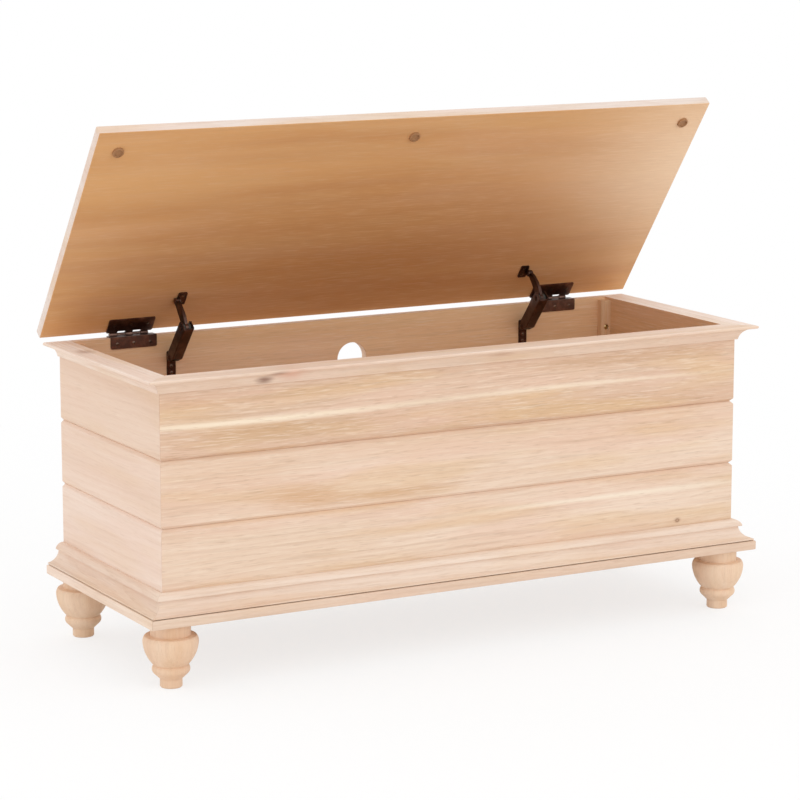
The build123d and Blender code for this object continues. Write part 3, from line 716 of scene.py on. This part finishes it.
BUMPER_RADIUS = 8.4
BUMPER_THICK = 3.4
BUMPER_EASE = 0.9
BUMPER_ROUND = 0.26
DISH_ROUND = 0.3
BUMPER_FROM_FRONT = 37.0
BUMPER_FROM_END = 36.5
dish_floor = (5.4, -1.2)
dish_rim = (6.2, -BUMPER_THICK)
face_edge = (BUMPER_RADIUS - BUMPER_EASE, -BUMPER_THICK)
side_edge = (BUMPER_RADIUS, BUMPER_EASE - BUMPER_THICK)
bumper_outline = [(0, dish_floor[1]), dish_floor] + arc(dish_floor, dish_rim, DISH_ROUND, 4) + [face_edge]
bumper_outline += arc(face_edge, side_edge, -BUMPER_ROUND, 4) + [(BUMPER_RADIUS, 0), (0, 0)]
bumpers = []
for x in (BUMPER_FROM_END - lid_half, 0, lid_half - BUMPER_FROM_END):
    seat = swing @ Matrix.Translation((x, lid_front + BUMPER_FROM_FRONT, lid_under))
    bumpers.append(turned(bumper_outline, seat, steps=48))
piece("lid_bumpers", bumpers, "lid", rubber)

# Hinges: an angle leaf over the back panel, a flat leaf under the lid, and a pin through their knuckles
HINGE_WIDTH = 74.0
LEAF_THICK = 1.6
LEAF_EASE = 0.3
LEAF_CORNER = 2.5
FRAME_LEAF_HEIGHT = 20.0
FRAME_LEAF_DROP = 16.5
LID_LEAF_LENGTH = 27.0
KNUCKLE_SPAN = 62.0
KNUCKLE_PITCH = 12.4
KNUCKLE_GAP = 0.3
KNUCKLE_EASE = 0.35
FRAME_KNUCKLE_RADIUS = 2.8
LID_KNUCKLE_RADIUS = 3.4
TONGUE_LAP = 1.0
TONGUE_EASE = 0.2
FOLD_LAP = 0.4
FOLD_INSET = 0.2
FOLD_EASE = 0.4
NOTCH_DEPTH = 3.2
NOTCH_HALF = 6.35
PIN_RADIUS = 1.4
PIN_EASE = 0.3
SCREW_PITCH = 26.5
SCREW_DROP = 9.5
LID_SCREW_REACH = 15.5
SCREW_LENGTH = 11
SCREW_HOLE = 2.85
HEAD_SUNK = 0.25
FRAME_KNUCKLES = (1, 3)
LID_KNUCKLES = (0, 2, 4)


def knuckles(centre, which, radius, leaf_end, leaf_low):
    """The rolled knuckles of one leaf and the tongues that join them to it."""
    parts = []
    for index in which:
        low = centre - KNUCKLE_SPAN / 2 + index * KNUCKLE_PITCH + KNUCKLE_GAP / 2
        high = low + KNUCKLE_PITCH - KNUCKLE_GAP
        parts.append(rod(radius, low, high, KNUCKLE_EASE, along_x(0, hinge_y, hinge_z)))
        tongue_low = (low, leaf_end - TONGUE_LAP, leaf_low)
        tongue_high = (high, hinge_y, leaf_low + LEAF_THICK)
        parts.append(block(tongue_low, tongue_high, TONGUE_EASE, segments=1))
    return parts


def frame_leaf(centre, screw_places):
    """The angle leaf: down the inside of the back panel, over its edge, and two knuckles."""
    down = rounded(HINGE_WIDTH, FRAME_LEAF_HEIGHT, LEAF_CORNER,
                   (centre, rim - FRAME_LEAF_DROP + FRAME_LEAF_HEIGHT / 2))
    down = [(x, min(z, rim + FOLD_LAP)) for x, z in down]
    holes = [ring(SCREW_HOLE, (x, rim - SCREW_DROP), 32) for x in screw_places]
    flange = plate([down] + holes, LEAF_THICK, LEAF_EASE, facing("front", 0, y_inner, 0))
    over = block((centre - HINGE_WIDTH / 2, y_inner - LEAF_THICK + FOLD_INSET, rim),
                 (centre + HINGE_WIDTH / 2, y_back, rim + LEAF_THICK), FOLD_EASE, segments=2)
    return [flange, over] + knuckles(centre, FRAME_KNUCKLES, FRAME_KNUCKLE_RADIUS, y_back, rim)


def lid_leaf(centre, screw_places):
    """The flat leaf under the lid, notched for the other leaf's knuckles, and three knuckles."""
    outline = rounded(HINGE_WIDTH, LID_LEAF_LENGTH, LEAF_CORNER, (centre, lid_rear - LID_LEAF_LENGTH / 2))
    notches = []
    for x in (centre + KNUCKLE_PITCH, centre - KNUCKLE_PITCH):
        high, low = x + NOTCH_HALF, x - NOTCH_HALF
        floor_y = lid_rear - NOTCH_DEPTH
        notches += [(high, lid_rear), (high, floor_y), (low, floor_y), (low, lid_rear)]
    first_corner = CORNER_STEPS + 1
    outline = outline[:first_corner] + notches + outline[first_corner:]
    holes = [ring(SCREW_HOLE, (x, lid_rear - LID_SCREW_REACH), 32) for x in screw_places]
    leaf_low = lid_under - LEAF_THICK
    parts = [plate([outline] + holes, LEAF_THICK, LEAF_EASE, Matrix.Translation((0, 0, leaf_low)))]
    parts += knuckles(centre, LID_KNUCKLES, LID_KNUCKLE_RADIUS, lid_rear, leaf_low)
    for part in parts:
        part.transform(swing)
    return parts


frame_screws = []
lid_screws = []
for side, sign in SIDES:
    centre = centre_of(f"hinge_pin_{side}").x
    screw_places = [centre - SCREW_PITCH, centre, centre + SCREW_PITCH]
    pin_low, pin_high = centre - KNUCKLE_SPAN / 2, centre + KNUCKLE_SPAN / 2
    pin = rod(PIN_RADIUS, pin_low, pin_high, PIN_EASE, along_x(0, hinge_y, hinge_z))
    piece(f"hinge_frame_leaf_{side}", frame_leaf(centre, screw_places), "chest", hinge_bronze)
    piece(f"hinge_lid_leaf_{side}", lid_leaf(centre, screw_places), "lid", hinge_bronze)
    piece(f"hinge_pin_{side}", [pin], "chest", hinge_bronze)
    for x in screw_places:
        seat = facing("front", x, y_inner - LEAF_THICK + HEAD_SUNK, rim - SCREW_DROP)
        frame_screws.append(screw(SCREW_LENGTH, seat))
        seat = swing @ facing("down", x, lid_rear - LID_SCREW_REACH, lid_under - LEAF_THICK + HEAD_SUNK)
        lid_screws.append(screw(SCREW_LENGTH, seat))
piece("hinge_frame_screws", frame_screws, "chest", screw_bronze)
piece("hinge_lid_screws", lid_screws, "lid", screw_bronze)

# Lid stays: a folded sheet housing on the back panel and a bowed arm to the lid.
# The hinge line and each stay's three pivots form a parallelogram, so the housing turns with the lid.
WALL_PIVOT_OUT = 11.5
WALL_PIVOT_DROP = 34.3
LID_PIVOT_REACH = 61.3
LID_PIVOT_DROP = 6.0
wall_pivot = (y_inner - WALL_PIVOT_OUT, rim - WALL_PIVOT_DROP)
closed_pivot = (lid_rear - LID_PIVOT_REACH, lid_under - LID_PIVOT_DROP)
closed_link = (closed_pivot[0] - hinge_y, closed_pivot[1] - hinge_z)
link_length = hypot(*closed_link)
link_turn = atan2(closed_link[1], closed_link[0]) - lid_open
link = (link_length * cos(link_turn), link_length * sin(link_turn))
elbow = (wall_pivot[0] + link[0], wall_pivot[1] + link[1])
lid_pivot = (hinge_y + link[0], hinge_z + link[1])

# Sizes of the stays' rivets, housing, arm, washers and brackets
RIVET_RADIUS = 2.5
RIVET_HOLE = 2.55
RIVET_HEAD_RADIUS = 4.0
RIVET_HEAD = 1.4
RIVET_RIM = 0.3
RIVET_GAP = 0.2
RIVET_DOME = 0.35
HOUSING_HALF = 8.5
HOUSING_WALL = 1.8
HOUSING_FOLD = 2.6
HOUSING_INNER_FOLD = 0.9
HOUSING_BACK = 7.5
HOUSING_FRONT = 11.0
HOUSING_TAIL = 7.0
HOUSING_NOSE = 9.5
HOUSING_EASE = 3.0
SHEET_EASE = 0.25
CLIP_DEEP = 9.0
CLIP_ALONG = 16.0
ARM_THICK = 5.0
ARM_EASE = 0.5
ARM_BOW = 4.2
ARM_HOLLOW = 0.5
ELBOW_EYE = 7.5
ELBOW_EYE_TURN = (70, 314)
ELBOW_HOLE = 2.85
LID_EYE = 5.0
LID_EYE_TURN = (-134, 114)
WASHER_RADIUS = 6.8
WASHER_SPAN = (2.65, 6.7)
PLATE_THICK = 2.0
PLATE_EASE = 0.3
PLATE_CORNER = 2.5
WALL_PLATE_WIDTH = 14.0
WALL_PLATE_ABOVE = 8.5
WALL_PLATE_BELOW = 30.0
WALL_SCREW_DROPS = (15, 25)
EAR_EASE = 0.25
WALL_EAR_RADIUS = 6.0
WALL_EAR_REACH = 9.4
WALL_EAR_GAP = 4.2
LID_EAR_GAP = 0.3
LID_EAR_REACH = 5.9
TAB_WIDTH = 14.5
TAB_LENGTH = 24.0
TAB_SCREW_IN = 8.25
TAB_SCREW_REACHES = (-6.5, 6.5)


def rivet(x_low, x_high, pivot):
    """A rivet across a gap, with a low domed head beyond each end."""
    low, high = x_low - RIVET_GAP, x_high + RIVET_GAP
    low_rim, high_rim = (RIVET_HEAD_RADIUS, low - RIVET_RIM), (RIVET_HEAD_RADIUS, high + RIVET_RIM)
    low_tip, high_tip = (0, low - RIVET_HEAD), (0, high + RIVET_HEAD)
    profile = [low_tip] + arc(low_tip, low_rim, -RIVET_DOME, 6)
    profile += [(RIVET_HEAD_RADIUS, low), (RIVET_RADIUS, low)]
    profile += [(RIVET_RADIUS, high), (RIVET_HEAD_RADIUS, high), high_rim]
    profile += arc(high_rim, high_tip, -RIVET_DOME, 6)
    return turned(profile, along_x(0, *pivot), steps=32)


def channel(half, front, fold):
    """One face of the housing's sheet: along one wall, round the front and back along the other."""
    points = [(-HOUSING_BACK, -half)] + ring(fold, (front - fold, fold - half), 6, -90, 0)
    return points + ring(fold, (front - fold, half - fold), 6, 0, 90) + [(-HOUSING_BACK, half)]


def housing(x):
    """A sheet channel, closed towards the front, with rounded folds and clipped ends."""
    tip = link_length + HOUSING_NOSE
    outside = channel(HOUSING_HALF, HOUSING_FRONT, HOUSING_FOLD)
    inside = channel(HOUSING_HALF - HOUSING_WALL, HOUSING_FRONT - HOUSING_WALL, HOUSING_INNER_FOLD)
    bm = bmesh.new()
    face = bm.faces.new([bm.verts.new((front, across, 0)) for front, across in outside + inside[::-1]])
    thicken(bm, [face], tip + HOUSING_TAIL)
    bm.transform(Matrix(((0, 0, 1, -HOUSING_TAIL), (1, 0, 0, 0), (0, 1, 0, 0), (0, 0, 0, 1))))
    eased_back = HOUSING_EASE - HOUSING_BACK
    cuts = (((-HOUSING_TAIL, HOUSING_FRONT - CLIP_DEEP, 0), (-CLIP_DEEP, CLIP_ALONG, 0)),
            ((-HOUSING_TAIL, eased_back, 0), (-1, -1, 0)), ((tip, eased_back, 0), (1, -1, 0)),
            ((tip, HOUSING_FRONT - HOUSING_EASE, 0), (1, 1, 0)))
    for point, normal in cuts:
        cut = bmesh.ops.bisect_plane(bm, geom=bm.verts[:] + bm.edges[:] + bm.faces[:], plane_co=point,
                                     plane_no=normal, clear_outer=True, dist=0.0001)
        bmesh.ops.holes_fill(bm, edges=only(bmesh.types.BMEdge, cut["geom_cut"]), sides=0)
    bmesh.ops.recalc_face_normals(bm, faces=bm.faces)
    ease_edges(bm, SHEET_EASE, segments=2, sharper=50)
    bm.transform(along_x(x, *wall_pivot, link_turn))
    return bm


def arm(x):
    """A flat arm, bowed away from the hinge, with an eye at each end."""
    run_y, run_z = lid_pivot[0] - elbow[0], lid_pivot[1] - elbow[1]
    reach = hypot(run_y, run_z)
    elbow_eye = ring(ELBOW_EYE, (0, 0), 28, *ELBOW_EYE_TURN)
    lid_eye = ring(LID_EYE, (reach, 0), 20, *LID_EYE_TURN)
    outline = elbow_eye + arc(elbow_eye[-1], lid_eye[0], ARM_HOLLOW, 10)[:-1]
    outline += lid_eye + arc(lid_eye[-1], elbow_eye[0], -ARM_BOW, 12)[:-1]
    holes = [ring(ELBOW_HOLE), ring(RIVET_HOLE, (reach, 0))]
    place = along_x(x - ARM_THICK / 2, *elbow, atan2(run_z, run_y))
    return plate([outline] + holes, ARM_THICK, ARM_EASE, place)


def washers(x):
    """The friction washers on both sides of the arm's elbow."""
    near, far = WASHER_SPAN
    loops = [ring(WASHER_RADIUS, steps=40), ring(RIVET_HOLE)]
    return [plate(loops, far - near, PLATE_EASE, along_x(x + low, *elbow)) for low in (-far, near)]


def wall_bracket(x):
    """A plate on the back panel with two ears that hold the housing's pivot."""
    height = WALL_PLATE_ABOVE + WALL_PLATE_BELOW
    middle_z = wall_pivot[1] + (WALL_PLATE_ABOVE - WALL_PLATE_BELOW) / 2
    loops = [rounded(WALL_PLATE_WIDTH, height, PLATE_CORNER, (x, middle_z))]
    loops += [ring(SCREW_HOLE, (x, wall_pivot[1] - drop), 32) for drop in WALL_SCREW_DROPS]
    parts = [plate(loops, PLATE_THICK, PLATE_EASE, facing("front", 0, y_inner, 0))]
    ear = ring(WALL_EAR_RADIUS, (0, 0), 24, 90, 270)
    ear += [(WALL_EAR_REACH, -WALL_EAR_RADIUS), (WALL_EAR_REACH, WALL_EAR_RADIUS)]
    for ear_x in (-WALL_EAR_GAP - PLATE_THICK, WALL_EAR_GAP):
        parts.append(plate([ear, ring(RIVET_HOLE)], PLATE_THICK, EAR_EASE, along_x(x + ear_x, *wall_pivot)))
    return parts


def lid_bracket(near, sign, screw_x):
    """A tab under the lid with one ear beside the arm's upper eye."""
    pivot_y = closed_pivot[0]
    loops = [rounded(TAB_WIDTH, TAB_LENGTH, PLATE_CORNER, (near - sign * TAB_WIDTH / 2, pivot_y))]
    loops += [ring(SCREW_HOLE, (screw_x, pivot_y + reach), 32) for reach in TAB_SCREW_REACHES]
    ear = ring(LID_EYE, (0, 0), 24, 180, 360) + [(LID_EYE, LID_EAR_REACH), (-LID_EYE, LID_EAR_REACH)]
    ear_low = min(near, near - sign * PLATE_THICK)
    parts = [plate(loops, PLATE_THICK, PLATE_EASE, Matrix.Translation((0, 0, lid_under - PLATE_THICK))),
             plate([ear, ring(RIVET_HOLE)], PLATE_THICK, EAR_EASE, along_x(ear_low, *closed_pivot))]
    for part in parts:
        part.transform(swing)
    return parts


wall_screws = []
tab_screws = []
for side, sign in SIDES:
    x = centre_of(f"stay_arm_{side}").x
    near = x - sign * (ARM_THICK / 2 + LID_EAR_GAP)
    screw_x = near - sign * TAB_SCREW_IN
    lid_rivet = rivet(*sorted((x + sign * ARM_THICK / 2, near - sign * PLATE_THICK)), closed_pivot)
    lid_rivet.transform(swing)
    wall_rivet = rivet(x - HOUSING_HALF, x + HOUSING_HALF, wall_pivot)
    elbow_rivet = rivet(x - HOUSING_HALF, x + HOUSING_HALF, elbow)
    housing_body = f"{side}_stay_housing"
    for node, parts, body in (
            ("wall_bracket", wall_bracket(x), "chest"), ("wall_rivet", [wall_rivet], "chest"),
            ("housing", [housing(x)], housing_body), ("elbow_rivet", [elbow_rivet], housing_body),
            ("washers", washers(x), housing_body), ("arm", [arm(x)], f"{side}_stay_arm"),
            ("lid_bracket", lid_bracket(near, sign, screw_x), "lid"), ("lid_rivet", [lid_rivet], "lid")):
        slot, look = ("friction_washers", fibre) if node == "washers" else ("dark_bronze", stay_bronze)
        piece(f"stay_{node}_{side}", parts, body, look)
    for drop in WALL_SCREW_DROPS:
        seat = facing("front", x, y_inner - PLATE_THICK + HEAD_SUNK, wall_pivot[1] - drop)
        wall_screws.append(screw(SCREW_LENGTH, seat))
    for reach in TAB_SCREW_REACHES:
        seat = swing @ facing("down", screw_x, closed_pivot[0] + reach, lid_under - PLATE_THICK + HEAD_SUNK)
        tab_screws.append(screw(SCREW_LENGTH, seat))
piece("stay_wall_screws", wall_screws, "chest", screw_bronze)
piece("stay_lid_screws", tab_screws, "lid", screw_bronze)

# White paper floor that fades out into the white surroundings and keeps a pale shadow, in metres
FLOOR_RADIUS = 4.0
FLOOR_FADE = (1.0, 2.6)
FLOOR_BELOW = 0.0002
SHADOW_SOFTENING = 0.72
floor_bm = bmesh.new()
bmesh.ops.create_circle(floor_bm, cap_ends=True, segments=96, radius=FLOOR_RADIUS)
bmesh.ops.translate(floor_bm, vec=(0, 0, -FLOOR_BELOW), verts=floor_bm.verts)
floor_mesh = bpy.data.meshes.new("floor")
floor_bm.to_mesh(floor_mesh)
floor_bm.free()
floor = bpy.data.objects.new("floor", floor_mesh)
scene.collection.objects.link(floor)
floor_material, tree, where = new_material("white_paper_floor")
far = add_node(tree, "ShaderNodeVectorMath", {0: where}, operation="LENGTH").outputs["Value"]
fade = add_node(tree, "ShaderNodeMapRange", {
    "Value": far, "From Min": FLOOR_FADE[0], "From Max": FLOOR_FADE[1]}).outputs[0]
rays = add_node(tree, "ShaderNodeLightPath", {}).outputs
seen = rays["Is Camera Ray"]
for ray in ("Is Glossy Ray", "Is Transmission Ray"):
    seen = add_node(tree, "ShaderNodeMath", {0: seen, 1: rays[ray]}, operation="MAXIMUM").outputs[0]
soften = add_node(tree, "ShaderNodeMath", {0: seen, 1: SHADOW_SOFTENING}, operation="MULTIPLY").outputs[0]
sheet = add_node(tree, "ShaderNodeBsdfDiffuse", {"Color": colour("#FBFBFB")}).outputs[0]
glow = add_node(tree, "ShaderNodeEmission", {"Color": colour("#FFFFFF"), "Strength": 1.0}).outputs[0]
clear = add_node(tree, "ShaderNodeBsdfTransparent", {}).outputs[0]
paper = add_node(tree, "ShaderNodeMixShader", {0: soften, 1: sheet, 2: glow}).outputs[0]
finish_material(tree, add_node(tree, "ShaderNodeMixShader", {0: fade, 1: paper, 2: clear}))
floor_mesh.materials.append(floor_material)

# Even white surroundings and two soft lamps
world = bpy.data.worlds.new("studio")
scene.world = world
world.use_nodes = True
world.node_tree.nodes.clear()
sky = add_node(world.node_tree, "ShaderNodeBackground", {"Color": colour("#FFFFFF"), "Strength": 1.0})
add_node(world.node_tree, "ShaderNodeOutputWorld", {"Surface": sky.outputs[0]})


def soft_light(name, place, target, size, watts):
    """A round area lamp that points at a target."""
    lamp = bpy.data.lights.new(name, "AREA")
    lamp.shape = "DISK"
    lamp.size = size
    lamp.energy = watts
    holder = bpy.data.objects.new(name, lamp)
    holder.location = place
    holder.rotation_euler = (Vector(target) - Vector(place)).to_track_quat("-Z", "Y").to_euler()
    scene.collection.objects.link(holder)


soft_light("left_key", place=(-3.4, -1.6, 2.4), target=(0, 0, 0.3), size=2.4, watts=6)
soft_light("front_fill", place=(0.8, -3.4, 2.6), target=(0, 0, 0.25), size=2.6, watts=13)

# Camera at the photo's viewing angle, fitted to the corners of the bench
CAMERA_PLACE = (-2.13060, -3.84770, 1.15498)
CAMERA_DOWN = 10.5079
CAMERA_TURN = 28.8766
CAMERA_LENS = 134.592
camera_data = bpy.data.cameras.new("photo_camera")
camera_data.sensor_width = 36
camera_data.lens = CAMERA_LENS
camera_data.dof.use_dof = False
camera = bpy.data.objects.new("photo_camera", camera_data)
camera.location = CAMERA_PLACE
camera.rotation_euler = (radians(90 - CAMERA_DOWN), 0, radians(-CAMERA_TURN))
scene.collection.objects.link(camera)
scene.camera = camera
scene.view_settings.view_transform = "Standard"
